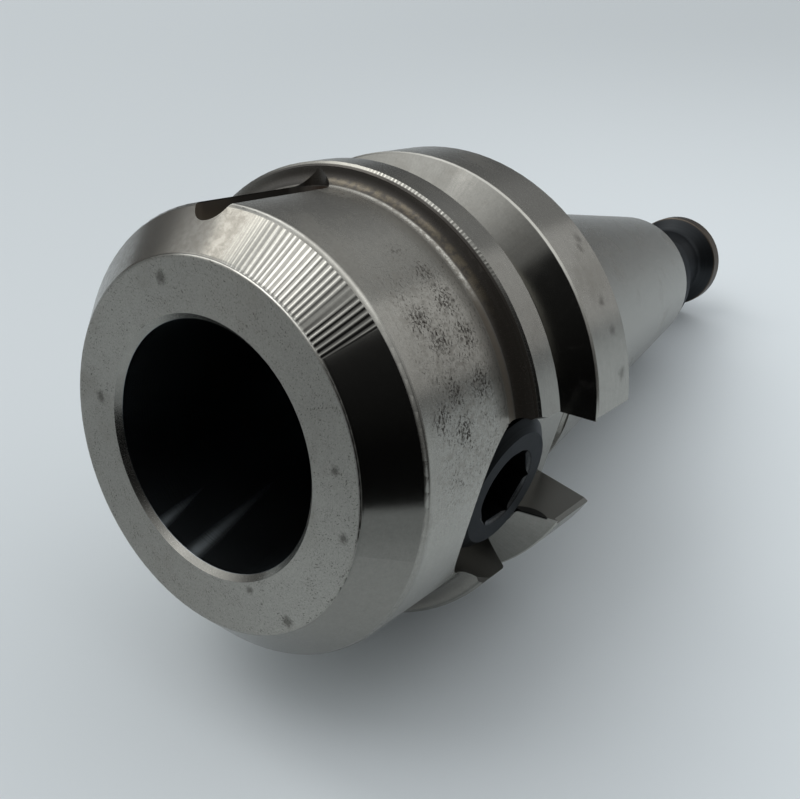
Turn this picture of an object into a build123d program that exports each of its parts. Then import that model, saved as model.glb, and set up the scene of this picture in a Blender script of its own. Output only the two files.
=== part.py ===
# Side-lock end mill holder with a size 40 steep taper: a one-piece turned and milled steel body,
# a black set screw that clamps the cutter's shank, and a black retention knob at the taper's small end.
#
# Frame: the origin is at the centre of the nose face, +Z runs along the axis towards the taper,
# and the clamp screw faces +X. The holder stands on its nose. All sizes are in millimetres.
import math
import os

from build123d import *

# Taper and gauge line
gauge_diameter = 44.45
taper_per_length = 7 / 24
taper_length = 65.4
gauge_length = 50.8  # from the nose face to the gauge line
taper_end_chamfer = 0.8
relief_depth = 0.6  # undercut between the taper and the flange, on the radius
relief_fillet = 0.4

# Grooved flange, measured forward from the gauge line
flange_diameter = 63.0
flange_rear = 2.0
flange_front = 26.8
groove_middle = 16.6
groove_mouth = 10.0
groove_depth = 5.0
groove_flank_angle = 30.0  # of each flank, from a plane across the axis
groove_bottom_fillet = 0.8
rim_front_chamfer = 0.55
rim_rear_chamfer = 0.4
groove_edge_chamfer = 0.25

# Nose
nose_step = 2.925  # from the flange's outside down to the nose, on the radius: 57.15 across
nose_cone_width = 5.175  # on the radius
nose_cone_angle = 45.0
nose_corner_round = 1.2
face_corner_round = 0.35
flange_fillet = 2.2

# Tool bore and the passage behind it
bore_diameter = 31.75
bore_depth = 62.0
bore_mouth_chamfer = 0.75
bore_floor_fillet = 1.0
coolant_diameter = 10.0

# Thread and pilot for the retention knob
drawbar_thread_diameter = 16.0
drawbar_thread_depth = 30.0
pilot_diameter = 17.0
pilot_depth = 6.0
pilot_mouth_chamfer = 0.6

# Drive slots, one on each side
slot_width = 16.3
slot_floor = 22.0  # from the axis
slot_reach = 25.0  # forward from the gauge line, to the end of the cutter's round
slot_edge_chamfer = 0.7

# Clamp screw, its threaded hole and the round pocket about it
screw_diameter = 19.05
screw_length = 10.1
screw_face = 26.4  # from the axis
screw_forward = 23.7  # from the gauge line
screw_face_chamfer = 1.5
screw_face_chamfer_height = 1.2
screw_tip_chamfer = 1.0
screw_clearance = 0.05  # on the radius, between the screw and its hole
pocket_diameter = 25.0
corner_break_distance = 28.2  # from the holder's axis to the break, on the pocket's wall
corner_break_forward = 3.1  # from the screw's axis to that place
corner_break_slope = 43.0  # degrees, from facing straight out towards facing the screw
corner_break_lean = 18.0  # degrees, towards the nose
corner_break_block = (5.0, 5.0, 3.0)
socket_across_flats = 9.525
socket_depth = 6.0
socket_drill_depth = 1.0  # of the drill's cone in the socket's floor
socket_drill_clearance = 0.4  # from the cone's rim to the socket's flats
socket_lead_in = 0.4

# Narrow slot milled along the nose
nose_slot_width = 6.0
nose_slot_depth = 2.575  # below the nose's outside
nose_slot_bearing = -110.6  # degrees about +Z, from +X
nose_slot_reach = 47.5  # forward from the gauge line

# Retention knob
collar_diameter = 23.0
collar_thickness = 5.0
collar_flats = 19.0
collar_edge_chamfer = 0.5
neck_diameter = 14.0
head_diameter = 19.0
head_land = 3.0
head_edge_chamfer = 0.5
knob_reach = 26.0  # from the taper's small end to the head's end face
neck_fillet = 1.5
knob_pilot_length = 5.0
knob_thread_length = 22.0
knob_clearance = 0.05  # on the radius, in the pilot and the thread
knob_tip_chamfer = 1.0
centre_diameter = 3.15
centre_depth = 4.0
centre_mouth_diameter = 6.7

# Heights above the nose face that several features share
gauge_line = gauge_length
taper_end = gauge_line + taper_length
flange_back_height = gauge_line - flange_rear
flange_front_height = gauge_line - flange_front
screw_height = gauge_line - screw_forward

# Radii that several features share
gauge_radius = gauge_diameter / 2
taper_end_radius = (gauge_diameter - taper_length * taper_per_length) / 2
flange_radius = flange_diameter / 2
nose_radius = flange_radius - nose_step
face_radius = nose_radius - nose_cone_width
nose_slot_floor = nose_radius - nose_slot_depth
groove_bottom_radius = flange_radius - groove_depth
bore_radius = bore_diameter / 2
screw_hole_radius = screw_diameter / 2 + screw_clearance


def turned(points, rounds=(), chamfers=()):
    """A solid of revolution about Z from (radius, height) points that start and end on the axis.
    rounds and chamfers are pairs of a point of the outline and a size."""
    outline = make_face(Polyline(*[(radius, height) for radius, height in points], close=True))
    for point, size in rounds:
        outline = fillet(nearest_vertex(outline, point), size)
    for point, size in chamfers:
        outline = chamfer(nearest_vertex(outline, point), size)
    return revolve(Plane.XZ * outline, Axis.Z)


def nearest_vertex(outline, point):
    return min(outline.vertices(), key=lambda v: math.hypot(v.X - point[0], v.Y - point[1]))


def cylinder_between(radius, start, end):
    """A cylinder on the Z axis from one height to another."""
    return Pos(0, 0, start) * Cylinder(radius, end - start, align=(Align.CENTER, Align.CENTER, Align.MIN))


def cone_between(low_radius, high_radius, start, end):
    """A cone on the Z axis from one height and radius to another."""
    return Pos(0, 0, start) * Cone(
        low_radius, high_radius, end - start, align=(Align.CENTER, Align.CENTER, Align.MIN)
    )


def groove_points():
    """The V groove's corners on the flange, from the front rim to the rear rim."""
    middle = gauge_line - groove_middle
    flank_height = groove_depth * math.tan(math.radians(groove_flank_angle))
    mouth = groove_mouth / 2
    return [
        (flange_radius, middle - mouth),
        (groove_bottom_radius, middle - mouth + flank_height),
        (groove_bottom_radius, middle + mouth - flank_height),
        (flange_radius, middle + mouth),
    ]


def body_blank():
    """The body as turned, before the bore and the milled cuts."""
    cone_height = nose_cone_width / math.tan(math.radians(nose_cone_angle))
    relief_radius = gauge_radius - relief_depth
    groove = groove_points()
    face_corner = (face_radius, 0)
    nose_corner = (nose_radius, cone_height)
    flange_root = (nose_radius, flange_front_height)
    front_edge = (flange_radius, flange_front_height)
    rear_edge = (flange_radius, flange_back_height)
    relief_root = (relief_radius, flange_back_height)
    taper_edge = (taper_end_radius, taper_end)
    points = [
        (0, 0),
        face_corner,
        nose_corner,
        flange_root,
        front_edge,
        *groove,
        rear_edge,
        relief_root,
        (relief_radius, gauge_line - relief_depth),
        (gauge_radius, gauge_line),
        taper_edge,
        (0, taper_end),
    ]
    rounds = [
        (face_corner, face_corner_round),
        (nose_corner, nose_corner_round),
        (flange_root, flange_fillet),
        (groove[1], groove_bottom_fillet),
        (groove[2], groove_bottom_fillet),
        (relief_root, relief_fillet),
    ]
    chamfers = [
        (front_edge, rim_front_chamfer),
        (rear_edge, rim_rear_chamfer),
        (groove[0], groove_edge_chamfer),
        (groove[3], groove_edge_chamfer),
        (taper_edge, taper_end_chamfer),
    ]
    return turned(points, rounds, chamfers)


def passage():
    """Everything bored from the two ends: the tool bore, the coolant way, the thread and its pilot."""
    coolant_radius = coolant_diameter / 2
    thread_radius = drawbar_thread_diameter / 2
    pilot_radius = pilot_diameter / 2
    thread_start = taper_end - drawbar_thread_depth
    bore_floor = (bore_radius, bore_depth)
    points = [
        (0, 0),
        (bore_radius + bore_mouth_chamfer, 0),
        (bore_radius, bore_mouth_chamfer),
        bore_floor,
        (coolant_radius, bore_depth),
        (coolant_radius, thread_start),
        (thread_radius, thread_start),
        (thread_radius, taper_end - pilot_depth),
        (pilot_radius, taper_end - pilot_depth),
        (pilot_radius, taper_end - pilot_mouth_chamfer),
        (pilot_radius + pilot_mouth_chamfer, taper_end),
        (0, taper_end),
    ]
    return turned(points, rounds=[(bore_floor, bore_floor_fillet)])


def end_milled_slot(width, floor, top, low_end, high_end, high_end_round=False):
    """A slot along the axis on the +X side, cut down to a flat floor by an end mill as wide as the slot.
    Its low end is round like the cutter, and its high end is open unless it is round too."""
    radius = width / 2
    low_centre = low_end + radius
    high_centre = high_end - radius if high_end_round else high_end
    outline = Pos((low_centre + high_centre) / 2, 0) * Rectangle(high_centre - low_centre, width)
    outline += Pos(low_centre, 0) * Circle(radius)
    if high_end_round:
        outline += Pos(high_centre, 0) * Circle(radius)
    floor_plane = Plane(origin=(floor, 0, 0), x_dir=(0, 0, 1), z_dir=(1, 0, 0))
    return extrude(floor_plane * outline, top - floor)


def drive_slot():
    """The drive slot on the +X side, open at the flange's rear face and round at its other end."""
    return end_milled_slot(slot_width, slot_floor, flange_diameter, gauge_line - slot_reach, gauge_line)


def screw_axis_plane(distance):
    """A plane across the clamp screw's axis, at a distance from the holder's axis."""
    return Plane(origin=(distance, 0, screw_height), x_dir=(0, 0, -1), z_dir=(1, 0, 0))


def screw_pocket():
    """The round flat-bottomed pocket about the clamp screw, with the screw's hole through to the bore."""
    pocket = extrude(screw_axis_plane(slot_floor) * Circle(pocket_diameter / 2), flange_radius)
    hole = extrude(screw_axis_plane(0) * Circle(screw_hole_radius), flange_radius)
    return pocket + hole


def nose_slot():
    """The narrow slot along the nose, from the flange's front face to a round end in the nose cone."""
    low_end = gauge_line - nose_slot_reach
    cut = end_milled_slot(
        nose_slot_width, nose_slot_floor, flange_radius, low_end, flange_front_height, high_end_round=True
    )
    return Rot(0, 0, nose_slot_bearing) * cut


def slot_edge_chamfers():
    """Square prisms set on their corners that break the drive slot's edges: two along the rear rim's
    outside and two across its rear face."""
    half = slot_width / 2
    outside = math.sqrt(flange_radius**2 - half**2)
    rim_front = groove_points()[-1][1]
    height = flange_back_height - rim_front
    side = slot_edge_chamfer * math.sqrt(2)
    along = Box(side, side, 2 * height, align=(Align.CENTER, Align.CENTER, Align.MIN))
    across = Box(flange_radius, side, side, align=(Align.MIN, Align.CENTER, Align.CENTER))
    prisms = []
    for edge in (-half, half):
        prisms.append(Pos(outside, edge, rim_front) * Rot(0, 0, 45) * along)
        prisms.append(Pos(slot_floor, edge, flange_back_height) * Rot(45, 0, 0) * across)
    return prisms


def corner_breaks():
    """Blocks that break the front rim's two thin corners beside the screw's pocket. Each break is a flat
    that starts on the rim's outside and widens towards the flange's front face."""
    front = screw_forward + corner_break_forward
    blocks = []
    for side in (-1, 1):
        origin = (corner_break_distance, side * pocket_diameter / 2, gauge_line - front)
        lean = math.radians(corner_break_lean)
        slope = math.radians(corner_break_slope)
        facing = (
            math.cos(lean) * math.cos(slope),
            -side * math.cos(lean) * math.sin(slope),
            -math.sin(lean),
        )
        flat = Plane(origin=origin, z_dir=facing)
        blocks.append(flat * Box(*corner_break_block, align=(Align.CENTER, Align.CENTER, Align.MIN)))
    return blocks


def holder_body():
    body = body_blank() - passage()
    for bearing in (0, 180):
        for cut in (drive_slot(), *slot_edge_chamfers()):
            body -= Rot(0, 0, bearing) * cut
    body -= nose_slot()
    body -= screw_pocket()
    for block in corner_breaks():
        body -= block
    return body


def clamp_screw():
    """The set screw that bears on the flat of the cutter's shank, with its face and socket outwards."""
    radius = screw_diameter / 2
    face_edge = radius - screw_face_chamfer
    points = [
        (0, 0),
        (radius - screw_tip_chamfer, 0),
        (radius, screw_tip_chamfer),
        (radius, screw_length - screw_face_chamfer_height),
        (face_edge, screw_length),
        (0, screw_length),
    ]
    socket_floor = screw_length - socket_depth
    corner_radius = socket_across_flats / 2 / math.cos(math.radians(30))
    drill_radius = socket_across_flats / 2 - socket_drill_clearance
    hexagon = RegularPolygon(corner_radius, 6)
    socket = Pos(0, 0, socket_floor) * extrude(hexagon, socket_depth)
    drill_point = cone_between(0, drill_radius, socket_floor - socket_drill_depth, socket_floor)
    lead_in = cone_between(
        corner_radius - socket_lead_in, corner_radius, screw_length - socket_lead_in, screw_length
    )
    screw = turned(points) - socket - drill_point - lead_in
    return screw_axis_plane(screw_face - screw_length).location * screw


def retention_knob():
    """The knob that the spindle's drawbar grips, seated on the taper's small end."""
    collar_radius = collar_diameter / 2
    collar_top = taper_end + collar_thickness
    neck_radius = neck_diameter / 2
    head_radius = head_diameter / 2
    head_top = taper_end + knob_reach
    head_under = head_top - head_land - (head_radius - neck_radius)
    pilot_radius = pilot_diameter / 2 - knob_clearance
    thread_radius = drawbar_thread_diameter / 2 - 2 * knob_clearance
    pilot_end = taper_end - knob_pilot_length
    tip = taper_end - knob_pilot_length - knob_thread_length
    points = [
        (0, tip),
        (thread_radius, tip),
        (thread_radius, pilot_end),
        (pilot_radius, pilot_end),
        (pilot_radius, taper_end),
        (collar_radius, taper_end),
        (collar_radius, collar_top),
        (neck_radius, collar_top),
        (neck_radius, head_under),
        (head_radius, head_top - head_land),
        (head_radius, head_top),
        (0, head_top),
    ]
    rounds = [((neck_radius, collar_top), neck_fillet), ((neck_radius, head_under), neck_fillet)]
    chamfers = [
        ((thread_radius, tip), knob_tip_chamfer),
        ((collar_radius, taper_end), collar_edge_chamfer),
        ((collar_radius, collar_top), collar_edge_chamfer),
        ((head_radius, head_top), head_edge_chamfer),
    ]
    knob = turned(points, rounds, chamfers)
    for side in (-1, 1):
        flat = Pos(0, side * (collar_flats / 2 + collar_radius), taper_end + collar_thickness / 2)
        knob -= flat * Box(collar_diameter * 2, collar_diameter, collar_thickness)
    mouth_depth = (centre_mouth_diameter - centre_diameter) / 2 * math.sqrt(3)
    mouth_start = head_top - mouth_depth
    knob -= cylinder_between(centre_diameter / 2, mouth_start - centre_depth, head_top)
    knob -= cone_between(centre_diameter / 2, centre_mouth_diameter / 2, mouth_start, head_top)
    return knob


pieces = {
    "holder_body": holder_body(),
    "clamp_screw": clamp_screw(),
    "retention_knob": retention_knob(),
}

os.makedirs("parts", exist_ok=True)
for name, piece in pieces.items():
    export_step(piece, f"parts/{name}.step")
    print(name, "volume", round(piece.volume, 1), "mm3, solids", len(piece.solids()))
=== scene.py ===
# Looks of the side-lock end mill holder: turned and ground tool steel with corrosion pits, stains and
# chatter marks, a black clamp screw and a black retention knob. The model's own frame is in metres: the
# holder stands on its nose at the origin, +Z runs to the knob and +X to the clamp screw. Places on the
# holder are in millimetres, and bearings in degrees round +Z from the clamp screw.
# The photograph shows the holder lying on a table, so the table is a plane that leans in this frame.
import math

import bpy
from mathutils import Matrix, Vector

MM = 0.001
WHITE = (1.0, 1.0, 1.0)

# Camera, found by fitting the holder's own rings to the photograph
CAMERA_PLACE = Vector((69.08, -68.94, -77.79)) * MM
CAMERA_VIEW = Vector((-0.4430, 0.4765, 0.7594)).normalized()
CAMERA_UP = Vector((-0.4619, -0.8473, 0.2622)).normalized()
CAMERA_NEAR = 0.005
CAMERA_FAR = 20.0
SENSOR_WIDTH = 36.0
FOCAL_PIXELS = 1036.5
IMAGE_WIDTH = 800

# The photograph's table, in metres: the flange's rear rim and the knob's head rest on it
TABLE_UP = Vector((-0.1251, -0.9676, -0.2191)).normalized()
TABLE_DISTANCE = 41.8 * MM
TABLE_FRONT = 0.19
TABLE_BACK = 1.6
TABLE_SIDE = 1.4
TABLE_COLOUR = (0.660, 0.702, 0.728)

# Painted light and shade over the table as ramps: from and to in metres away from the camera or to its
# right, then the brightness at each. The near fade is a painted shadow along the table's near edge. The
# sideways ramp for the near part gives way to the far one in TABLE_FAR_PART.
TABLE_FAR_FADE = (0.05, 0.35, 1.12, 0.96)
TABLE_NEAR_SHADOW = (-0.11, -0.03, 0.60, 1.0)
TABLE_NEAR_SIDEWAYS = (-0.05, 0.10, 1.00, 1.15)
TABLE_FAR_SIDEWAYS = (-0.15, 0.20, 1.05, 0.98)
TABLE_FAR_PART = (0.10, 0.35)

# The floor under the standing holder, in metres. It glows, since the lamps stand over the table instead.
FLOOR_SIZE = 3.0
FLOOR_GLOW = 0.9
FLOOR_GLOW_SHARE = 0.5

# Lamps: name, elevation and azimuth over the table in degrees, distance, width and height in metres,
# radiance with 1 for white, and colour
LAMPS = (
    ("ceiling_left", 51, -59, 1.2, 0.52, 0.28, 2.30, (1.0, 0.985, 0.93)),
    ("ceiling_top", 65, -108, 1.2, 0.42, 0.34, 1.90, WHITE),
    ("window_right", 16, 62, 1.6, 0.95, 0.82, 0.56, WHITE),
)
LAMP_AIM = Vector((0.0, 0.0, 0.04))

# The room as the steel reflects it. A ramp gives two levels and the light at each: height over the table
# from -1 to 1 for the walls and the ceiling, and closeness to a direction up to 1 for the others.
ROOM_TINT = (0.97, 0.99, 1.0)
ROOM_LEVEL = 0.18
ROOM_WALLS = (0.12, 0.60, 0.0, 0.46)
ROOM_CEILING = (0.50, 0.85, 0.0, 0.40)
GLOW_DIRECTION = (46, -58)
GLOW = (0.80, 0.985, 0.0, 0.50)
CUPBOARD_DIRECTION = (14, 8)
CUPBOARD = (0.955, 0.985, 1.0, 0.6)
BEHIND_DIRECTION = (18, 172)
BEHIND_DUSK = (0.45, 0.78, 1.0, 0.32)
BEHIND_DARK = (0.785, 0.835, 1.0, 0.10)
BACKDROP_LEVEL = 0.85

# Holder's profile in millimetres, as the model has it
NOSE_RADIUS = 28.575
CONE_HEIGHT = 5.175
FACE_RADIUS = 23.4
BORE_RADIUS = 15.875
BORE_DEPTH = 62.0
FLANGE_FRONT = 24.0
FLANGE_FILLET = 2.2
GROOVE_LOW = 29.2
GROOVE_HIGH = 39.2
GROOVE_FLANK = math.radians(30)
FLANGE_BACK = 48.8
FLANGE_RADIUS = 31.5
GAUGE_LINE = 50.8
SLOT_FLOOR = 22.0
SLOT_HALF_WIDTH = 8.15
NOSE_SLOT_FLOOR = 26.0
NOSE_SLOT_BEARING = -110.6
SCREW_HEIGHT = 27.1
SCREW_FACE = 26.4
SCREW_RADIUS = 9.525
KNOB_HEAD_RADIUS = 9.5

# The hex socket's edge taken as a ring, between its flats and its corners
SOCKET_EDGE_RADIUS = 5.1

# Heights between which the knob's wear begins: it is on the head and not on the collar
KNOB_WEAR_START = (136.5, 138.0)

# Millimetres along the nose's surface for one degree round it
ARC = math.pi * NOSE_RADIUS / 180

STEEL_COLOUR = (0.300, 0.293, 0.268)
MILLED_COLOUR = (0.085, 0.085, 0.079)
BORE_COLOUR = (0.180, 0.202, 0.216)
STAIN_COLOUR = (0.085, 0.062, 0.038)
# The dark band on the flange's root: a brown stain and a painted dark reflection
BAND_STAIN_AND_REFLECTION_COLOUR = (0.026, 0.020, 0.015)
OLIVE_COLOUR = (0.110, 0.088, 0.055)
# Painted shade for a lens on the slot's wall by the groove
SLOT_WALL_SHADE_COLOUR = (0.008, 0.008, 0.008)
RUST_COLOUR = (0.045, 0.024, 0.012)
# Painted light on the rust at the nose slot's rounded end
LIT_SLOT_END_COLOUR = (0.340, 0.270, 0.200)
PIT_COLOUR = (0.032, 0.026, 0.021)
SCRATCH_COLOUR = (0.520, 0.510, 0.480)
SCREW_COLOUR = (0.0185, 0.0200, 0.0210)
# Painted glints on the clamp screw's socket edge and outer chamfer
SCREW_GLINT_COLOUR = (0.250, 0.250, 0.250)
KNOB_COLOUR = (0.027, 0.029, 0.031)
KNOB_WORN_COLOUR = (0.150, 0.120, 0.090)
BLACK_SHEEN = (0.72, 0.73, 0.75)

# How far each layer covers what lies under it, from 0 to 1
STAIN_COVER = 0.80
BAND_STAIN_AND_REFLECTION_COVER = 0.92
MILLED_COVER = 0.88
PIT_COVER = 0.92
SMUDGE_COVER = 0.60
SCRATCH_COVER = 0.25

# Share of each layer that is no longer metal
SLOT_DIRT = 0.85
BAND_DIRT = 0.55
STAIN_DIRT = 0.50

# Roughness of the ground steel, of the body's other surfaces, and what each layer adds
STEEL_ROUGHNESS = 0.22
SURFACE_ROUGHNESS = {"face": 0.40, "cone": 0.15, "groove": 0.13, "milled": 0.34}
BORE_ROUGHNESS = 0.25
GRAIN_ROUGHNESS = 0.08
FAN_ROUGHNESS = 0.17
STAIN_ROUGHNESS = 0.20
PIT_ROUGHNESS = 0.25
SLOT_ROUGHNESS = 0.30
BLACK_ROUGHNESS = 0.36
STEEL_BRUSHING = 0.6
BLACK_BRUSHING = 0.2

# Heights of the marks in millimetres
RING_HEIGHT = 0.0009
FINE_RING_HEIGHT = 0.0006
GRAIN_HEIGHT = 0.0012
FACE_GRAIN_HEIGHT = 0.004
HATCH_HEIGHT = 0.004
FILLET_MARK_HEIGHT = 0.010
CONE_CHATTER_HEIGHT = 0.0125
RIM_CHATTER_HEIGHT = 0.007
BLACK_GRAIN_HEIGHT = 0.003
BLACK_RING_HEIGHT = 0.010

# How much each mark changes the steel's brightness; some of these marks are painted highlights
PLAIN_TONE = 0.98
GRAIN_TONE = 0.15
FACE_GRAIN_TONE = 0.45
SMOOTH_UNEVENNESS = 0.30
ROUGH_UNEVENNESS = 0.50
RING_TONE = 0.10
MOTTLE_TONE = 0.25
HATCH_TONE = 0.50
GROOVE_STREAK_TONE = 0.15
# Painted highlight on the groove's edge with the rear rim
GROOVE_EDGE_HIGHLIGHT = 0.80
# Painted highlight along the fillet's foot
FILLET_FOOT_HIGHLIGHT = 0.95
# Painted highlight on the cone's worn edges
EDGE_GLINT = 30.0
# Painted highlights on the cone's chatter stripes and on the front rim's beads
CONE_STRIPE_HIGHLIGHT = (-0.3, 0.95, 0.50, 1.55)
RIM_BEAD_HIGHLIGHT = (-0.3, 0.8, 0.65, 1.70)

# Brightness of the parts that the room lights more or less than the rest. A ramp gives two places, in
# millimetres across the face or degrees round the nose, and the brightness at each.
PLAIN_CONE_TONE = 0.78
FRONT_RIM_TONE = 0.82
TAPER_TONE = 0.88
FACE_TONE = (0.0, 18.0, 1.04, 1.16)
NOSE_TOP_TONE = (-85.0, -60.0, 1.22, 1.0)
NOSE_BOTTOM_TONE = (-20.0, 5.0, 1.0, 1.60)

# Bearings between which things lie on the body
PITTED_SECTOR = (-70.0, -8.0)
HANDLED_SECTOR = (-85.0, 0.0)
STAINED_SECTOR = (-130.0, 2.0)
OLIVE_SECTOR = (-110.0, -54.0)
# Bearings of the painted glint on the cone's edges
GLINT_SECTOR = (-112.0, -58.0)
# Where the painted highlight on the fillet's foot ends and its rust spots join into one film
FOOT_HIGHLIGHT_END = (-62.0, -50.0)
IVORY_END = (-100.0, -90.0)

# The cone's two edges are worn round over this width in millimetres, down to this slope
WORN_EDGE_WIDTH = 0.45
WORN_EDGE_SLOPE = 0.40

# Chatter marks: marks in the whole circle, and the bearings where they lie
CONE_CHATTER_COUNT = 218
CONE_CHATTER_START = -93.0
CONE_CHATTER_GAP = -65.2
CONE_CHATTER_END = -55.6
LIT_CONE_SECTOR = (-118.0, CONE_CHATTER_END)
RIM_CHATTER_COUNT = 360
RIM_CHATTER_SECTOR = (-96.0, -57.0)

# Groups of corrosion pits on the nose: height and bearing
PIT_GROUPS = (
    (15.5, -72.0),
    (17.0, -64.5),
    (17.2, -56.0),
    (17.9, -47.5),
    (17.4, -36.0),
    (12.3, -36.0),
    (12.9, -48.0),
    (11.3, -54.0),
    (12.7, -27.0),
    (8.5, -32.0),
)

# Smudges on the nose face: x, y and radius
FACE_SMUDGES = (
    (-19.0, 2.7, 0.7),
    (-11.4, -17.6, 0.8),
    (-12.8, -9.9, 0.6),
    (21.5, -1.1, 0.6),
    (17.0, 14.3, 0.7),
    (10.6, 14.0, 0.5),
    (18.3, -8.2, 0.5),
)

# Smudges on the rear rim: height, bearing and radius
RIM_SMUDGES = (
    (46.6, -58.9, 0.5),
    (45.6, -56.6, 0.4),
    (44.5, -42.5, 0.4),
    (45.3, -35.0, 0.5),
    (46.2, -24.0, 0.6),
)

# Fans of painted light on the bore's wall: bearing at the mouth, degrees gained for each millimetre of
# depth, half width in degrees at the mouth, and length
BORE_FANS = (
    (110.5, 0.90, 4.5, 12.0),
    (89.0, 0.86, 6.5, 26.0),
)

# Fine scratches: slant across the turning marks, and the level of the noise that they follow
SCRATCHES = ((0.9, 0.47), (-0.6, 0.53), (2.1, 0.5))

# Slants of the crossed polishing lines
HATCH_SLANTS = (0.10, -0.16, 0.0)

# A lens of painted shade on the slot's wall, on its edge with the groove: a point of that edge,
# the lens's middle, its half length and how far it reaches up from the edge
SHADE_EDGE_X = 25.59
SHADE_EDGE_Z = 36.55
SHADE_MIDDLE_X = 26.3
SHADE_HALF_LENGTH = 2.7
SHADE_REACH = 1.6

# Sockets of Blender's Mix node that have no name of their own
MIX_FIRST_COLOUR = 6
MIX_SECOND_COLOUR = 7
MIX_COLOUR_RESULT = 2


def table_axes():
    """The table's forward and right directions, as the camera sees them."""
    forward = (CAMERA_VIEW - CAMERA_VIEW.dot(TABLE_UP) * TABLE_UP).normalized()
    return forward, forward.cross(TABLE_UP)


def sky_direction(elevation, azimuth):
    """A direction above the table; azimuth 0 is away from the camera and 90 to its right, in degrees."""
    forward, right = table_axes()
    e, a = math.radians(elevation), math.radians(azimuth)
    level = math.cos(a) * forward + math.sin(a) * right
    return (math.cos(e) * level + math.sin(e) * TABLE_UP).normalized()


class Tree:
    """Builds a node tree with short calls. Sockets and plain numbers can be mixed freely."""

    def __init__(self, tree):
        self.tree = tree
        tree.nodes.clear()

    def node(self, kind, **settings):
        made = self.tree.nodes.new("ShaderNode" + kind)
        for name, value in settings.items():
            setattr(made, name, value)
        return made

    def plug(self, socket, value):
        """Links a socket to the value, or sets the value on it."""
        if isinstance(value, bpy.types.NodeSocket):
            self.tree.links.new(value, socket)
        elif socket.type == "RGBA":
            socket.default_value = (*value, 1.0)
        else:
            socket.default_value = value

    def math(self, operation, *values, clamp=False):
        made = self.node("Math", operation=operation, use_clamp=clamp)
        for socket, value in zip(made.inputs, values):
            self.plug(socket, value)
        return made.outputs[0]

    def joined(self, operation, values):
        """One operation over all the values, from left to right."""
        result = values[0]
        for value in values[1:]:
            result = self.math(operation, result, value)
        return result

    def total(self, *values):
        return self.joined("ADD", values)

    def product(self, *values):
        return self.joined("MULTIPLY", values)

    def largest(self, *values):
        return self.joined("MAXIMUM", values)

    def minus(self, first, second):
        return self.math("SUBTRACT", first, second)

    def invert(self, value):
        return self.minus(1.0, value)

    def centred(self, noise):
        """A noise about 0 instead of about a half."""
        return self.minus(noise, 0.5)

    def wave(self, degrees, count):
        """A wave from -1 to 1 with this count in the whole circle."""
        return self.math("SINE", self.product(degrees, count * math.pi / 180))

    def vector_math(self, operation, *values, output=0):
        made = self.node("VectorMath", operation=operation)
        for socket, value in zip(made.inputs, values):
            self.plug(socket, value)
        return made.outputs[output]

    def dot(self, first, second):
        return self.vector_math("DOT_PRODUCT", first, second, output=1)

    def combine(self, x, y, z):
        made = self.node("CombineXYZ")
        for socket, value in zip(made.inputs, (x, y, z)):
            self.plug(socket, value)
        return made.outputs[0]

    def length(self, x, y):
        """The length of a flat vector."""
        return self.vector_math("LENGTH", self.combine(x, y, 0.0), output=1)

    def ramp(self, value, low, high, start=0.0, end=1.0):
        """A smooth step from start to end as the value goes from low to high."""
        made = self.node("MapRange", interpolation_type="SMOOTHSTEP")
        for name, number in (
            ("Value", value),
            ("From Min", low),
            ("From Max", high),
            ("To Min", start),
            ("To Max", end),
        ):
            self.plug(made.inputs[name], number)
        return made.outputs[0]

    def fall(self, value, low, high):
        """A smooth step from 1 to 0 as the value goes from low to high."""
        return self.ramp(value, low, high, 1.0, 0.0)

    def band(self, value, low, high, soft):
        """1 between low and high, fading to 0 over the soft distance."""
        rise = self.ramp(value, low - soft, low + soft)
        return self.product(rise, self.fall(value, high - soft, high + soft))

    def near(self, value, centre, width):
        """1 at the centre, fading to 0 at the width on both sides."""
        away = self.math("ABSOLUTE", self.minus(value, centre))
        return self.fall(away, 0.0, width)

    def noise(self, vector, scale, detail, roughness=0.5, distortion=0.0):
        made = self.node("TexNoise")
        self.plug(made.inputs["Vector"], vector)
        self.plug(made.inputs["Scale"], scale)
        self.plug(made.inputs["Detail"], detail)
        self.plug(made.inputs["Roughness"], roughness)
        self.plug(made.inputs["Distortion"], distortion)
        return made.outputs["Fac"]

    def line_noise(self, value, scale, detail=2.0):
        """Noise along one value."""
        made = self.node("TexNoise", noise_dimensions="1D")
        self.plug(made.inputs["W"], value)
        self.plug(made.inputs["Scale"], scale)
        self.plug(made.inputs["Detail"], detail)
        return made.outputs["Fac"]

    def mix_colour(self, mask, first, second):
        """first where the mask is 0 and second where it is 1."""
        made = self.node("Mix", data_type="RGBA")
        self.plug(made.inputs["Factor"], mask)
        self.plug(made.inputs[MIX_FIRST_COLOUR], first)
        self.plug(made.inputs[MIX_SECOND_COLOUR], second)
        return made.outputs[MIX_COLOUR_RESULT]

    def mix_value(self, mask, first, second):
        """first where the mask is 0 and second where it is 1."""
        return self.total(self.product(self.invert(mask), first), self.product(mask, second))

    def tinted(self, colour, tone):
        """A colour made brighter or darker by a tone, 1 for no change."""
        return self.vector_math("MULTIPLY", colour, self.combine(tone, tone, tone))

    def bump(self, height):
        """A bump from a height in millimetres."""
        made = self.node("Bump")
        made.inputs["Distance"].default_value = MM
        self.plug(made.inputs["Height"], height)
        return made.outputs[0]

    def mix_shaders(self, mask, first, second):
        """first where the mask is 0 and second where it is 1."""
        made = self.node("MixShader")
        for socket, value in zip(made.inputs, (mask, first, second)):
            self.plug(socket, value)
        return made.outputs[0]

    def finish(self, surface, kind="OutputMaterial"):
        self.plug(self.node(kind).inputs["Surface"], surface)


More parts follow.
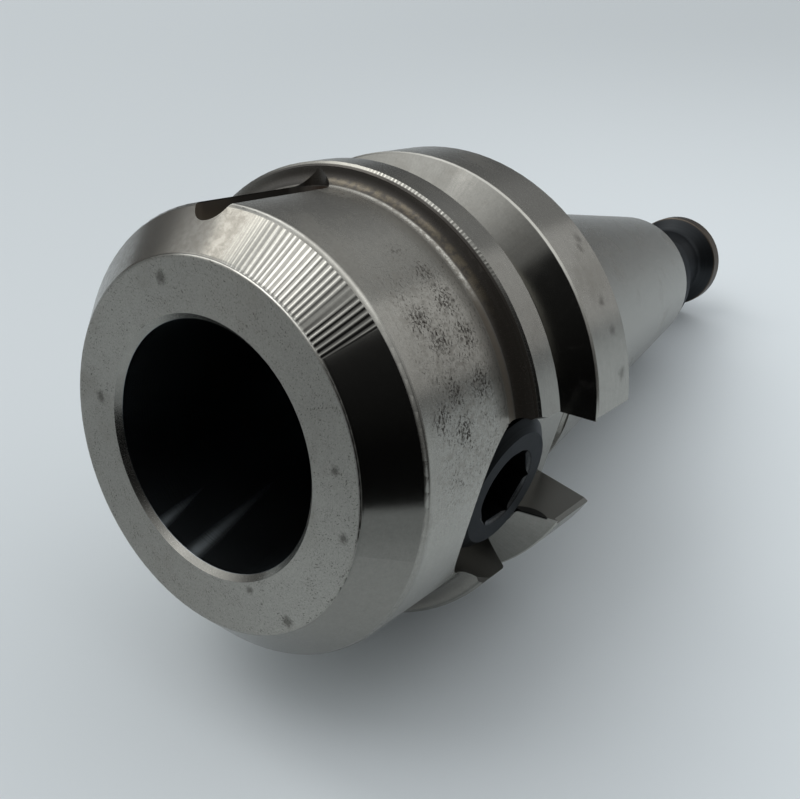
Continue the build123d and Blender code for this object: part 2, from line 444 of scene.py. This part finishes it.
class Turned:
    """Coordinates of a turned part, in millimetres and degrees, with the surface's own direction."""

    def __init__(self, tree):
        coordinates = tree.node("TexCoord")
        normal = coordinates.outputs["Normal"]
        self.place = tree.vector_math("MULTIPLY", coordinates.outputs["Object"], (1 / MM, 1 / MM, 1 / MM))
        parts = tree.node("SeparateXYZ")
        tree.plug(parts.inputs[0], self.place)
        self.x, self.y, self.z = parts.outputs
        flat = tree.combine(self.x, self.y, 0.0)
        self.radius = tree.vector_math("LENGTH", flat, output=1)
        self.angle = tree.product(tree.math("ARCTAN2", self.y, self.x), 180.0 / math.pi)
        normal_parts = tree.node("SeparateXYZ")
        tree.plug(normal_parts.inputs[0], normal)
        self.normal_z = normal_parts.outputs["Z"]
        self.outward = tree.math("DIVIDE", tree.dot(normal, flat), self.radius)


def new_material(name):
    material = bpy.data.materials.new(name)
    material.use_nodes = True
    return material, Tree(material.node_tree)


def metal_shader(tree, colour, roughness, normal, brushing):
    """A metal whose brushing runs round the Z axis."""
    shader = tree.node("BsdfPrincipled")
    tree.plug(shader.inputs["Base Color"], colour)
    tree.plug(shader.inputs["Roughness"], roughness)
    shader.inputs["Metallic"].default_value = 1.0
    shader.inputs["Anisotropic"].default_value = brushing
    shader.inputs["Anisotropic Rotation"].default_value = 0.25
    tangent = tree.node("Tangent", direction_type="RADIAL", axis="Z")
    tree.plug(shader.inputs["Tangent"], tangent.outputs[0])
    tree.plug(shader.inputs["Normal"], normal)
    tree.finish(shader.outputs[0])
    return shader


def distance_on_nose(tree, at, height, bearing):
    """Millimetres along the turned surface from a height and a bearing."""
    across = tree.product(tree.minus(at.angle, bearing), ARC)
    return tree.length(across, tree.minus(at.z, height))


def pits(tree, at, patch):
    """Fine corrosion pits, a little longer round the holder, denser in the photograph's groups."""
    warp = tree.noise(at.place, 0.9, detail=2.0)
    round_way = tree.total(tree.product(at.angle, ARC * 0.8), tree.product(warp, -1.2))
    straight_way = tree.total(at.z, at.radius, warp)
    place = tree.combine(round_way, straight_way, 0.0)
    fine = tree.noise(place, 4.2, detail=2.0, roughness=0.6)
    coarse = tree.noise(place, 3.0, detail=4.0, roughness=0.7)
    spread = tree.noise(at.place, 0.45, detail=2.0, roughness=0.6)
    gathered = 0.0
    for height, bearing in PIT_GROUPS:
        away = distance_on_nose(tree, at, height, bearing)
        gathered = tree.largest(gathered, tree.fall(away, 0.4, 3.0))
    light = tree.total(tree.product(fine, 0.9), tree.product(spread, 0.25), tree.product(patch, 0.10))
    light = tree.ramp(light, 0.73, 0.84, 0.0, 0.70)
    deep = tree.total(tree.product(coarse, 0.9), tree.product(gathered, 0.12), tree.product(patch, 0.06))
    return tree.largest(light, tree.ramp(deep, 0.595, 0.68))


def face_smudges(tree, at):
    """Small dark smudges on the nose face, at the places the photograph shows."""
    blur = tree.product(tree.noise(at.place, 1.6, detail=3.0, roughness=0.7), 1.2)
    found = 0.0
    for x, y, radius in FACE_SMUDGES:
        away = tree.total(tree.length(tree.minus(at.x, x), tree.minus(at.y, y)), blur)
        found = tree.largest(found, tree.fall(away, radius + 0.1, radius + 1.0))
    return found


def rim_smudges(tree, at):
    """Brown handling smudges on the rear rim."""
    blur = tree.product(tree.noise(at.place, 1.3, detail=3.0, roughness=0.7), 1.8)
    found = 0.0
    for height, bearing, radius in RIM_SMUDGES:
        away = tree.total(distance_on_nose(tree, at, height, bearing), blur)
        found = tree.largest(found, tree.fall(away, radius + 0.4, radius + 1.5))
    return found


def scratches(tree, at):
    """A few fine handling scratches that cross the turning marks at several slants."""
    found = 0.0
    for slant, level in SCRATCHES:
        along = tree.total(tree.product(at.angle, 0.5), tree.product(at.z, slant))
        across = tree.total(at.z, tree.product(at.angle, -0.5 * slant))
        stretched = tree.combine(tree.product(along, 0.05), tree.product(across, 2.4), slant)
        line = tree.near(tree.noise(stretched, 1.0, detail=1.0), level, 0.004)
        patch = tree.ramp(tree.noise(at.place, 0.12 + 0.05 * abs(slant), detail=1.0), 0.52, 0.66)
        found = tree.largest(found, tree.product(line, patch))
    return found


def hatching(tree, at):
    """Fine crossed polishing lines round the rims and the nose, about 0.5 on the whole."""
    lines = 0.0
    for slant in HATCH_SLANTS:
        across = tree.total(at.z, tree.product(at.angle, ARC * slant))
        stretched = tree.combine(tree.product(at.angle, 0.10), tree.product(across, 5.0), 7.0 * slant)
        line = tree.noise(stretched, 1.0, detail=1.0, roughness=0.6)
        lines = tree.total(lines, tree.product(line, 1 / len(HATCH_SLANTS)))
    return lines


def bore_fans(tree, at):
    """The fans of painted light that run into the bore from its mouth and narrow to a point."""
    found = 0.0
    for bearing, turn, half_width, length in BORE_FANS:
        middle = tree.total(tree.product(at.z, turn), bearing)
        away = tree.math("ABSOLUTE", tree.minus(at.angle, middle))
        left = tree.fall(at.z, 0.0, length)
        width = tree.total(tree.product(left, half_width), 0.01)
        fan = tree.product(tree.fall(tree.math("DIVIDE", away, width), 0.0, 1.0), left)
        found = tree.largest(found, fan)
    return found


def slot_wall_painted_shade(tree, at):
    """Painted shade: a dark lens on the slot's wall, along its edge with the groove."""
    slope = tree.product(tree.minus(at.x, SHADE_EDGE_X), math.tan(GROOVE_FLANK))
    above = tree.minus(tree.minus(at.z, SHADE_EDGE_Z), slope)
    along = tree.product(tree.minus(at.x, SHADE_MIDDLE_X), 1 / SHADE_HALF_LENGTH)
    top = tree.product(tree.invert(tree.product(along, along)), SHADE_REACH)
    lens = tree.fall(tree.minus(above, top), -0.25, 0.05)
    before_wall = tree.ramp(at.y, SLOT_HALF_WIDTH - 0.15, SLOT_HALF_WIDTH - 0.05)
    behind_wall = tree.fall(at.y, SLOT_HALF_WIDTH + 0.15, SLOT_HALF_WIDTH + 0.45)
    over = tree.ramp(at.z, SHADE_EDGE_Z - 1.15, SHADE_EDGE_Z - 0.15)
    outside = tree.ramp(at.x, SHADE_EDGE_X - 1.59, SHADE_EDGE_X - 0.99)
    return tree.product(lens, before_wall, behind_wall, over, outside)


def worn_edges(tree, at):
    """How far the cone's two edges are worn below their sharp corners, in millimetres."""
    worn = 0.0
    for radius, height in ((FACE_RADIUS, 0.0), (NOSE_RADIUS, CONE_HEIGHT)):
        away = tree.length(tree.minus(at.radius, radius), tree.minus(at.z, height))
        left = tree.math("SUBTRACT", 1.0, tree.product(away, 1 / WORN_EDGE_WIDTH), clamp=True)
        worn = tree.total(worn, tree.product(left, left))
    return tree.product(worn, WORN_EDGE_SLOPE * WORN_EDGE_WIDTH / 2)


class BodySurfaces:
    """Masks of the holder body's surfaces: 1 on the surface and 0 elsewhere."""

    def __init__(self, tree, at):
        down = tree.product(at.normal_z, -1.0)
        self.inside = tree.product(
            tree.fall(at.radius, BORE_RADIUS + 0.05, BORE_RADIUS + 0.25),
            tree.band(at.z, 0.72, BORE_DEPTH + 3, 0.05),
        )
        self.face = tree.product(tree.ramp(down, 0.90, 0.97), tree.fall(at.z, 0.3, 0.5))
        self.cone = tree.product(
            tree.band(down, 0.55, 0.85, 0.06),
            tree.band(at.z, 0.05, CONE_HEIGHT + 1.225, 0.05),
            tree.ramp(at.radius, FACE_RADIUS - 3.4, FACE_RADIUS - 2.4),
        )
        self.nose = tree.product(
            tree.band(at.z, CONE_HEIGHT + 0.6, FLANGE_FRONT - FLANGE_FILLET, 0.5),
            tree.ramp(at.radius, NOSE_RADIUS - 0.4, NOSE_RADIUS - 0.1),
        )
        self.fillet = tree.product(
            tree.band(at.z, FLANGE_FRONT - FLANGE_FILLET, FLANGE_FRONT + 0.1, 0.15),
            tree.band(at.radius, NOSE_RADIUS - 0.1, FLANGE_RADIUS - 0.6, 0.1),
        )
        self.front_edge = tree.product(
            tree.band(at.z, FLANGE_FRONT - 0.1, FLANGE_FRONT + 0.6, 0.05),
            tree.ramp(at.radius, FLANGE_RADIUS - 0.36, FLANGE_RADIUS - 0.26),
        )
        self.front_edge_foot = tree.product(
            tree.band(at.z, FLANGE_FRONT - 0.1, FLANGE_FRONT + 0.4, 0.05),
            tree.band(at.radius, FLANGE_RADIUS - 0.7, FLANGE_RADIUS - 0.31, 0.06),
        )
        self.groove_edge = tree.product(
            tree.band(at.z, GROOVE_HIGH - 0.06, GROOVE_HIGH + 0.30, 0.04),
            tree.ramp(at.radius, FLANGE_RADIUS - 0.35, FLANGE_RADIUS - 0.25),
            tree.band(at.outward, 0.60, 0.97, 0.02),
        )
        self.groove = tree.product(
            tree.band(at.z, GROOVE_LOW - 0.05, GROOVE_HIGH + 0.05, 0.08),
            tree.ramp(at.outward, 0.3, 0.45),
        )
        self.rim = tree.product(
            tree.ramp(at.radius, FLANGE_RADIUS - 0.3, FLANGE_RADIUS - 0.1),
            tree.ramp(at.outward, 0.8, 0.95),
        )
        self.front_rim = tree.product(self.rim, tree.fall(at.z, GROOVE_LOW, GROOVE_LOW + 1))
        self.taper = tree.ramp(at.z, GAUGE_LINE - 0.7, GAUGE_LINE - 0.4)
        self.milled = tree.product(
            tree.fall(at.outward, 0.35, 0.65),
            tree.fall(tree.math("ABSOLUTE", at.normal_z), 0.5, 0.8),
            tree.band(at.z, 2.0, FLANGE_BACK - 0.3, 0.3),
            tree.ramp(at.radius, SLOT_FLOOR - 0.6, SLOT_FLOOR - 0.3),
        )
        self.nose_slot = tree.product(
            tree.near(at.angle, NOSE_SLOT_BEARING, 9.0),
            tree.invert(self.cone),
            tree.fall(at.radius, NOSE_RADIUS - 0.25, NOSE_RADIUS - 0.08),
            tree.band(at.z, 3.0, FLANGE_FRONT + 0.4, 0.2),
            tree.ramp(at.radius, NOSE_SLOT_FLOOR - 0.5, NOSE_SLOT_FLOOR - 0.1),
        )


def cone_chatter(tree, at, on):
    """The cone's chatter wave and how strong it is at each place. Near its start, marks at half the spacing
    are mixed in."""
    wander = tree.line_noise(at.angle, 0.09)
    slanted = tree.total(at.angle, tree.product(at.z, 0.25), tree.product(wander, 1.5))
    plain_wave = tree.wave(slanted, CONE_CHATTER_COUNT)
    fine_wave = tree.wave(slanted, 2 * CONE_CHATTER_COUNT)
    fine_share = tree.ramp(at.angle, CONE_CHATTER_START - 2, CONE_CHATTER_START + 7, 0.60, 0.0)
    start = tree.ramp(at.angle, CONE_CHATTER_START - 7, CONE_CHATTER_START + 6)
    end = tree.fall(at.angle, CONE_CHATTER_END - 0.4, CONE_CHATTER_END + 0.4)
    gap = tree.product(tree.near(at.angle, CONE_CHATTER_GAP, 2.6), 0.85)
    growth = tree.ramp(at.angle, CONE_CHATTER_GAP - 5, CONE_CHATTER_GAP + 2, 0.8, 1.5)
    wave = tree.mix_value(fine_share, plain_wave, fine_wave)
    return wave, tree.product(on.cone, start, end, tree.invert(gap), growth)


def rim_chatter(tree, at, on):
    """Small beads along the front rim's chamfer, as a wave and its strength. The bump makes them and the
    tone paints them as bright highlights.
    """
    sector = tree.band(at.angle, *RIM_CHATTER_SECTOR, 4.0)
    uneven = tree.ramp(tree.line_noise(at.angle, 0.5), 0.35, 0.60, 0.25, 1.0)
    return tree.wave(at.angle, RIM_CHATTER_COUNT), tree.product(on.front_edge, sector, uneven)


class SteelMarks:
    """Textures and worked places that the body's colour, roughness and bump share."""

    def __init__(self, tree, at, on):
        self.rings = tree.line_noise(tree.total(at.z, at.radius), 9.0)
        self.fine_rings = tree.line_noise(tree.total(at.z, tree.product(at.radius, 0.7)), 34.0)
        self.grain = tree.noise(at.place, 9.0, detail=1.0, roughness=0.6)
        self.fine_grain = tree.noise(at.place, 3.2, detail=3.0, roughness=0.7)
        self.mottle = tree.noise(at.place, 1.1, detail=4.0, roughness=0.7)
        self.hatch = hatching(tree, at)
        self.cone_wave, self.cone_worked = cone_chatter(tree, at, on)
        self.rim_wave, self.rim_worked = rim_chatter(tree, at, on)
        self.worn_edge = worn_edges(tree, at)
        self.fans = tree.product(bore_fans(tree, at), on.inside)
        self.nose_patch = tree.product(
            tree.ramp(at.z, 4.0, 10.0), tree.band(at.angle, *PITTED_SECTOR, 12.0), on.nose
        )


def steel_height(tree, at, on, marks):
    """Turning, grinding and chatter marks and the worn edges, as a height in millimetres."""
    fillet_marks = tree.noise(at.place, 2.4, detail=2.0, roughness=0.7)
    height = tree.total(
        tree.product(marks.rings, RING_HEIGHT),
        tree.product(marks.fine_rings, FINE_RING_HEIGHT),
        tree.product(marks.grain, tree.mix_value(on.face, GRAIN_HEIGHT, FACE_GRAIN_HEIGHT)),
        tree.product(marks.cone_wave, marks.cone_worked, CONE_CHATTER_HEIGHT),
        tree.product(marks.rim_wave, marks.rim_worked, RIM_CHATTER_HEIGHT),
        tree.product(marks.hatch, on.rim, HATCH_HEIGHT),
        tree.product(fillet_marks, on.fillet, FILLET_MARK_HEIGHT),
    )
    return tree.minus(height, marks.worn_edge)


def pitted_places(tree, at, on, marks):
    """Pits gather on the nose beside the flange, with a few on the face and the rims."""
    patch = tree.largest(marks.nose_patch, tree.product(on.face, 0.80))
    clean = tree.largest(on.groove, on.inside, on.taper, on.fillet, on.milled, tree.product(on.cone, 0.8))
    share = tree.mix_value(tree.largest(marks.nose_patch, on.face), 0.45, 1.0)
    return tree.product(pits(tree, at, patch), tree.invert(clean), share)


def smudged_places(tree, at, on):
    return tree.largest(
        tree.product(face_smudges(tree, at), on.face), tree.product(rim_smudges(tree, at), on.rim)
    )


def scratched_places(tree, at, on):
    return tree.product(scratches(tree, at), tree.largest(on.nose, on.rim, on.taper))


def flange_root_films(tree, at, on):
    """Films on the flange's root: rust spots at its foot, a dark band outside, and olive in the band.
    The dark band is partly a brown stain and partly a painted dark reflection.
    """
    mottle = tree.ramp(tree.noise(at.place, 1.9, detail=4.0, roughness=0.7), 0.42, 0.60)
    foot = tree.ramp(at.outward, 0.86, 0.93)
    stained = tree.band(at.angle, *STAINED_SECTOR, 14.0)
    far_foot = tree.ramp(at.angle, *FOOT_HIGHLIGHT_END)
    spots = tree.product(mottle, tree.invert(far_foot), 0.60)
    rust = tree.product(tree.total(spots, tree.product(far_foot, 0.90)), stained, on.fillet, foot)
    outer = tree.largest(tree.product(on.fillet, tree.invert(foot)), on.front_edge_foot)
    # the dark band outside the foot: a brown stain and a painted dark reflection
    band = tree.product(outer, tree.total(0.40, tree.product(stained, 0.60)))
    olive = tree.product(
        tree.band(at.outward, 0.55, 0.88, 0.12),
        tree.band(at.angle, *OLIVE_SECTOR, 10.0),
        tree.ramp(tree.noise(at.place, 0.9, detail=4.0, roughness=0.7), 0.35, 0.60),
        on.fillet,
    )
    return rust, band, olive


def stain_film(tree, at, on, marks, rust):
    """A thin brown film in corners and patches, joined to the rust film. The bore and the cone's dark part
    stay bare."""
    cloud = tree.noise(at.place, 0.10, detail=4.0, roughness=0.6, distortion=0.4)
    ivory_cone = tree.product(on.cone, tree.fall(at.angle, *IVORY_END))
    near_slot = tree.product(tree.near(at.angle, -101.0, 9.0), tree.near(at.z, 21.5, 3.0), on.nose)
    beside_flange = tree.product(
        tree.ramp(at.z, 18.6, 21.8), tree.band(at.angle, *HANDLED_SECTOR, 12.0), on.nose
    )
    film = tree.largest(
        rust,
        tree.ramp(cloud, 0.50, 0.80, 0.0, 0.30),
        tree.product(marks.nose_patch, tree.ramp(marks.mottle, 0.42, 0.70, 0.0, 0.36)),
        tree.product(near_slot, tree.ramp(marks.mottle, 0.35, 0.60, 0.0, 0.80)),
        tree.product(beside_flange, 0.40),
        tree.product(ivory_cone, tree.ramp(marks.mottle, 0.35, 0.65, 0.22, 0.50)),
    )
    bare = tree.largest(on.inside, tree.product(on.cone, tree.invert(ivory_cone)))
    return tree.product(film, tree.invert(bare))


def steel_tone(tree, at, on, marks):
    """How bright the bare steel is at each place, 1 for its plain colour. It holds painted light and shade:
    highlights on marks and edges, and parts painted lighter or darker as the room lights them.
    """
    streaks = tree.product(tree.centred(tree.line_noise(at.angle, 1.3, 3.0)), on.groove)
    brushed = tree.largest(on.rim, tree.product(on.nose, 0.6))
    unevenness = tree.mix_value(tree.largest(on.face, on.nose), SMOOTH_UNEVENNESS, ROUGH_UNEVENNESS)
    # Painted highlight along the fillet's foot
    painted_foot_highlight = tree.product(
        on.fillet, tree.band(at.outward, 0.90, 0.985, 0.02), tree.fall(at.angle, *FOOT_HIGHLIGHT_END)
    )
    tone = tree.total(
        PLAIN_TONE,
        tree.product(tree.centred(marks.grain), tree.mix_value(on.face, GRAIN_TONE, FACE_GRAIN_TONE)),
        tree.product(tree.centred(marks.fine_grain), unevenness),
        tree.product(tree.centred(marks.rings), RING_TONE),
        tree.product(tree.centred(marks.mottle), MOTTLE_TONE),
        tree.product(tree.centred(marks.hatch), brushed, HATCH_TONE),
        tree.product(streaks, GROOVE_STREAK_TONE),
        # painted highlight on the groove's edge
        tree.product(on.groove_edge, GROOVE_EDGE_HIGHLIGHT),
        tree.product(painted_foot_highlight, FILLET_FOOT_HIGHLIGHT),
    )
    # Painted highlight along the cone's worn edges
    painted_edge_glint = tree.product(marks.worn_edge, tree.band(at.angle, *GLINT_SECTOR, 6.0), EDGE_GLINT)
    tone = tree.product(tone, tree.total(1.0, painted_edge_glint))
    plain_cone = tree.product(on.cone, tree.invert(tree.band(at.angle, *LIT_CONE_SECTOR, 4.0)))
    # Painted light and shade: highlights on the chatter stripes and the rim's beads, and parts painted
    # lighter or darker as the room lights them
    for mask, brightness in (
        (tree.math("MINIMUM", marks.cone_worked, 1.0), tree.ramp(marks.cone_wave, *CONE_STRIPE_HIGHLIGHT)),
        (marks.rim_worked, tree.ramp(marks.rim_wave, *RIM_BEAD_HIGHLIGHT)),
        (plain_cone, PLAIN_CONE_TONE),
        (on.front_rim, FRONT_RIM_TONE),
        (on.taper, TAPER_TONE),
        (on.face, tree.ramp(at.x, *FACE_TONE)),
        (on.nose, tree.ramp(at.angle, *NOSE_TOP_TONE)),
        (on.nose, tree.ramp(at.angle, *NOSE_BOTTOM_TONE)),
    ):
        tone = tree.product(tone, tree.mix_value(mask, 1.0, brightness))
    return tone


def tool_steel():
    """The holder's body: each turned, ground or milled surface has its own marks."""
    material, tree = new_material("tool_steel")
    at = Turned(tree)
    on = BodySurfaces(tree, at)
    marks = SteelMarks(tree, at, on)
    pitted = pitted_places(tree, at, on, marks)
    rust, stain_and_reflection_band, olive = flange_root_films(tree, at, on)
    film = stain_film(tree, at, on, marks, rust)

    # The bore's rings, lightened by the fans of painted light
    bore_tone = tree.product(tree.ramp(marks.rings, 0.38, 0.62, 0.6, 1.4), tree.total(1.0, marks.fans))
    # The nose slot's rust is painted lighter towards its rounded end, as painted light
    lit_slot_end = tree.fall(at.z, 9.5, 12.5)
    colour = tree.tinted(STEEL_COLOUR, steel_tone(tree, at, on, marks))
    for cover, layer in (
        (tree.product(film, STAIN_COVER), STAIN_COLOUR),
        # the dark band: brown stain and painted dark reflection
        (tree.product(stain_and_reflection_band, BAND_STAIN_AND_REFLECTION_COVER), tree.mix_colour(olive, BAND_STAIN_AND_REFLECTION_COLOUR, OLIVE_COLOUR)),
        (on.inside, tree.tinted(BORE_COLOUR, bore_tone)),
        (tree.product(on.milled, MILLED_COVER), MILLED_COLOUR),
        (on.nose_slot, tree.mix_colour(lit_slot_end, RUST_COLOUR, LIT_SLOT_END_COLOUR)),
        (tree.product(pitted, PIT_COVER), PIT_COLOUR),
        (tree.product(smudged_places(tree, at, on), SMUDGE_COVER), PIT_COLOUR),
        # painted shade on the slot's wall by the groove
        (slot_wall_painted_shade(tree, at), SLOT_WALL_SHADE_COLOUR),
        (tree.product(scratched_places(tree, at, on), SCRATCH_COVER), SCRATCH_COLOUR),
    ):
        colour = tree.mix_colour(cover, colour, layer)

    roughness = tree.total(STEEL_ROUGHNESS, tree.product(marks.grain, GRAIN_ROUGHNESS))
    for surface, value in SURFACE_ROUGHNESS.items():
        roughness = tree.mix_value(getattr(on, surface), roughness, value)
    bore_roughness = tree.total(BORE_ROUGHNESS, tree.product(marks.fans, FAN_ROUGHNESS))
    roughness = tree.total(
        tree.mix_value(on.inside, roughness, bore_roughness),
        tree.product(film, STAIN_ROUGHNESS),
        tree.product(pitted, PIT_ROUGHNESS),
        tree.product(on.nose_slot, SLOT_ROUGHNESS),
    )

    normal = tree.bump(steel_height(tree, at, on, marks))
    shader = metal_shader(tree, colour, roughness, normal, STEEL_BRUSHING)
    dirt = tree.largest(
        tree.product(on.nose_slot, SLOT_DIRT),
        tree.product(stain_and_reflection_band, BAND_DIRT),
        tree.product(film, STAIN_DIRT),
    )
    tree.plug(shader.inputs["Metallic"], tree.invert(dirt))
    return material


def black_oxide(name, colour, worn_colour, wear_and_glints):
    """Blackened steel with a faint blue sheen. The given function returns the lighter places, worn bare on
    the knob and painted glints on the screw, and the turning marks.
    """
    material, tree = new_material(name)
    at = Turned(tree)
    grain = tree.noise(at.place, 7.0, detail=4.0, roughness=0.6)
    cloud = tree.noise(at.place, 0.35, detail=3.0)
    # worn holds the knob's real wear and the screw's painted glints
    worn, rings = wear_and_glints(tree, at)
    rubbed_and_glinting = tree.product(worn, tree.ramp(grain, 0.35, 0.65, 0.4, 1.0))
    tone = tree.total(0.45, tree.product(grain, 0.3), tree.product(cloud, 0.3), tree.product(rings, 0.6))
    mixed = tree.mix_colour(rubbed_and_glinting, tree.tinted(colour, tone), worn_colour)
    roughness = tree.total(BLACK_ROUGHNESS, tree.product(cloud, 0.12), tree.product(rubbed_and_glinting, -0.1))
    height = tree.total(tree.product(grain, BLACK_GRAIN_HEIGHT), tree.product(rings, BLACK_RING_HEIGHT))
    shader = metal_shader(tree, mixed, roughness, tree.bump(height), BLACK_BRUSHING)
    tree.plug(shader.inputs["Specular Tint"], BLACK_SHEEN)
    return material


def screw_glints(tree, at):
    """Painted glints on the socket's edge and the face's outer chamfer; the turned face has rings round
    the screw's axis.
    """
    from_axis = tree.length(at.y, tree.minus(at.z, SCREW_HEIGHT))
    outer = tree.ramp(at.x, SCREW_FACE - 0.5, SCREW_FACE - 0.1)
    socket_edge = tree.product(outer, tree.near(from_axis, SOCKET_EDGE_RADIUS, 0.5))
    rim_edge = tree.product(outer, tree.near(from_axis, SCREW_RADIUS - 0.525, 0.35))
    worn = tree.total(tree.product(socket_edge, 0.60), tree.product(rim_edge, 0.30))
    return worn, tree.line_noise(from_axis, 3.0, 3.0)


def knob_wear(tree, at):
    """The drawbar rubs the head's rim, and the turning marks run round the knob."""
    rim = tree.ramp(at.radius, KNOB_HEAD_RADIUS - 0.3, KNOB_HEAD_RADIUS - 0.05)
    head = tree.ramp(at.z, *KNOB_WEAR_START)
    return tree.product(rim, head, 0.9), tree.line_noise(tree.total(at.z, at.radius), 3.0, 3.0)


def show_one_side(tree, surface):
    """Ends a material that shows its surface from the front and nothing from the back."""
    from_back = tree.node("NewGeometry").outputs["Backfacing"]
    tree.finish(tree.mix_shaders(from_back, surface, tree.node("BsdfTransparent").outputs[0]))


def table_material():
    """A pale painted table top with painted light and shade: a little lighter near the camera and a painted
    shadow along its near edge. It is seen from its upper side alone.
    """
    material, tree = new_material("table_top")
    forward, right = table_axes()
    place = tree.node("TexCoord").outputs["Object"]
    along = tree.dot(place, forward)
    across = tree.dot(place, right)
    sideways = tree.mix_value(
        tree.ramp(along, *TABLE_FAR_PART),
        tree.ramp(across, *TABLE_NEAR_SIDEWAYS),
        tree.ramp(across, *TABLE_FAR_SIDEWAYS),
    )
    light = tree.product(tree.ramp(along, *TABLE_FAR_FADE), tree.ramp(along, *TABLE_NEAR_SHADOW), sideways)
    diffuse = tree.node("BsdfDiffuse")
    tree.plug(diffuse.inputs["Color"], tree.tinted(TABLE_COLOUR, light))
    show_one_side(tree, diffuse.outputs[0])
    return material


def floor_material():
    """The pale floor under the standing holder, seen from above alone."""
    material, tree = new_material("floor")
    diffuse = tree.node("BsdfDiffuse")
    tree.plug(diffuse.inputs["Color"], TABLE_COLOUR)
    glow = tree.node("Emission")
    tree.plug(glow.inputs["Color"], TABLE_COLOUR)
    tree.plug(glow.inputs["Strength"], FLOOR_GLOW)
    show_one_side(tree, tree.mix_shaders(FLOOR_GLOW_SHARE, diffuse.outputs[0], glow.outputs[0]))
    return material


def flat_sheet(name, corners, material):
    mesh = bpy.data.meshes.new(name)
    mesh.from_pydata([tuple(corner) for corner in corners], [], [tuple(range(len(corners)))])
    sheet = bpy.data.objects.new(name, mesh)
    sheet.data.materials.append(material)
    bpy.context.scene.collection.objects.link(sheet)
    return sheet


def make_table():
    """The table that the photograph's holder lies on."""
    forward, right = table_axes()
    foot = -TABLE_DISTANCE * TABLE_UP
    front, back = -TABLE_FRONT * forward, TABLE_BACK * forward
    side = TABLE_SIDE * right
    corners = [foot + front - side, foot + front + side, foot + back + side, foot + back - side]
    flat_sheet("table_top", corners, table_material())


def make_floor():
    """A floor that only the camera sees, for views of the standing holder."""
    half = FLOOR_SIZE / 2
    square = [(-half, -half, 0), (half, -half, 0), (half, half, 0), (-half, half, 0)]
    floor = flat_sheet("floor", square, floor_material())
    floor.visible_diffuse = False
    floor.visible_glossy = False
    floor.visible_transmission = False
    floor.visible_shadow = False


def make_camera():
    data = bpy.data.cameras.new("camera")
    data.sensor_width = SENSOR_WIDTH
    data.lens = FOCAL_PIXELS / IMAGE_WIDTH * SENSOR_WIDTH
    data.clip_start = CAMERA_NEAR
    data.clip_end = CAMERA_FAR
    camera = bpy.data.objects.new("camera", data)
    up = (CAMERA_UP - CAMERA_UP.dot(CAMERA_VIEW) * CAMERA_VIEW).normalized()
    right = CAMERA_VIEW.cross(up)
    turn = Matrix((right, up, -CAMERA_VIEW)).transposed()
    camera.matrix_world = Matrix.Translation(CAMERA_PLACE) @ turn.to_4x4()
    bpy.context.scene.collection.objects.link(camera)
    bpy.context.scene.camera = camera


def area_lamp(name, elevation, azimuth, distance, width, height, radiance, colour):
    """A soft lamp over the table that faces the holder."""
    data = bpy.data.lights.new(name, "AREA")
    data.shape = "RECTANGLE"
    data.size = width
    data.size_y = height
    data.energy = radiance * math.pi * width * height
    data.color = colour
    lamp = bpy.data.objects.new(name, data)
    direction = sky_direction(elevation, azimuth)
    lamp.location = direction * distance + LAMP_AIM
    lamp.rotation_mode = "QUATERNION"
    lamp.rotation_quaternion = direction.to_track_quat("Z", "Y")
    bpy.context.scene.collection.objects.link(lamp)


def make_world():
    """A room seen over the table: pale walls, a bright ceiling and the dark side behind the camera."""
    world = bpy.data.worlds.new("room")
    bpy.context.scene.world = world
    world.use_nodes = True
    tree = Tree(world.node_tree)
    direction = tree.node("TexCoord").outputs["Generated"]
    height = tree.dot(direction, TABLE_UP)
    room = tree.total(
        ROOM_LEVEL,
        tree.ramp(height, *ROOM_WALLS),
        tree.ramp(height, *ROOM_CEILING),
        tree.ramp(tree.dot(direction, sky_direction(*GLOW_DIRECTION)), *GLOW),
    )
    behind = tree.dot(direction, sky_direction(*BEHIND_DIRECTION))
    room = tree.product(
        room,
        tree.ramp(tree.dot(direction, sky_direction(*CUPBOARD_DIRECTION)), *CUPBOARD),
        tree.ramp(behind, *BEHIND_DUSK),
        tree.ramp(behind, *BEHIND_DARK),
    )
    light = tree.node("Background")
    tree.plug(light.inputs["Color"], ROOM_TINT)
    tree.plug(light.inputs["Strength"], room)
    backdrop = tree.node("Background")
    tree.plug(backdrop.inputs["Color"], TABLE_COLOUR)
    tree.plug(backdrop.inputs["Strength"], BACKDROP_LEVEL)
    seen = tree.node("LightPath").outputs["Is Camera Ray"]
    tree.finish(tree.mix_shaders(seen, light.outputs[0], backdrop.outputs[0]), "OutputWorld")


def dress(node, material):
    """Gives a model node its material."""
    if not node.material_slots:
        node.data.materials.append(material)
    for slot in node.material_slots:
        slot.material = material


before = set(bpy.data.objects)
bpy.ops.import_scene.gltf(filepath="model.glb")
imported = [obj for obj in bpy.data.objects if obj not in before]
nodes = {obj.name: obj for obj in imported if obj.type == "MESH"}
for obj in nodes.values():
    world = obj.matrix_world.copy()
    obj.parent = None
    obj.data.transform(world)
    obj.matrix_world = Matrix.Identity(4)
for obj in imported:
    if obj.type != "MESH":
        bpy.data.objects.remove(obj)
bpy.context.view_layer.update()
bpy.context.scene.view_settings.view_transform = "Standard"
make_camera()
make_table()
make_floor()
make_world()
for lamp_row in LAMPS:
    area_lamp(*lamp_row)
dress(nodes["holder_body"], tool_steel())
dress(nodes["clamp_screw"], black_oxide("black_screw", SCREW_COLOUR, SCREW_GLINT_COLOUR, screw_glints))
dress(nodes["retention_knob"], black_oxide("black_knob", KNOB_COLOUR, KNOB_WORN_COLOUR, knob_wear))
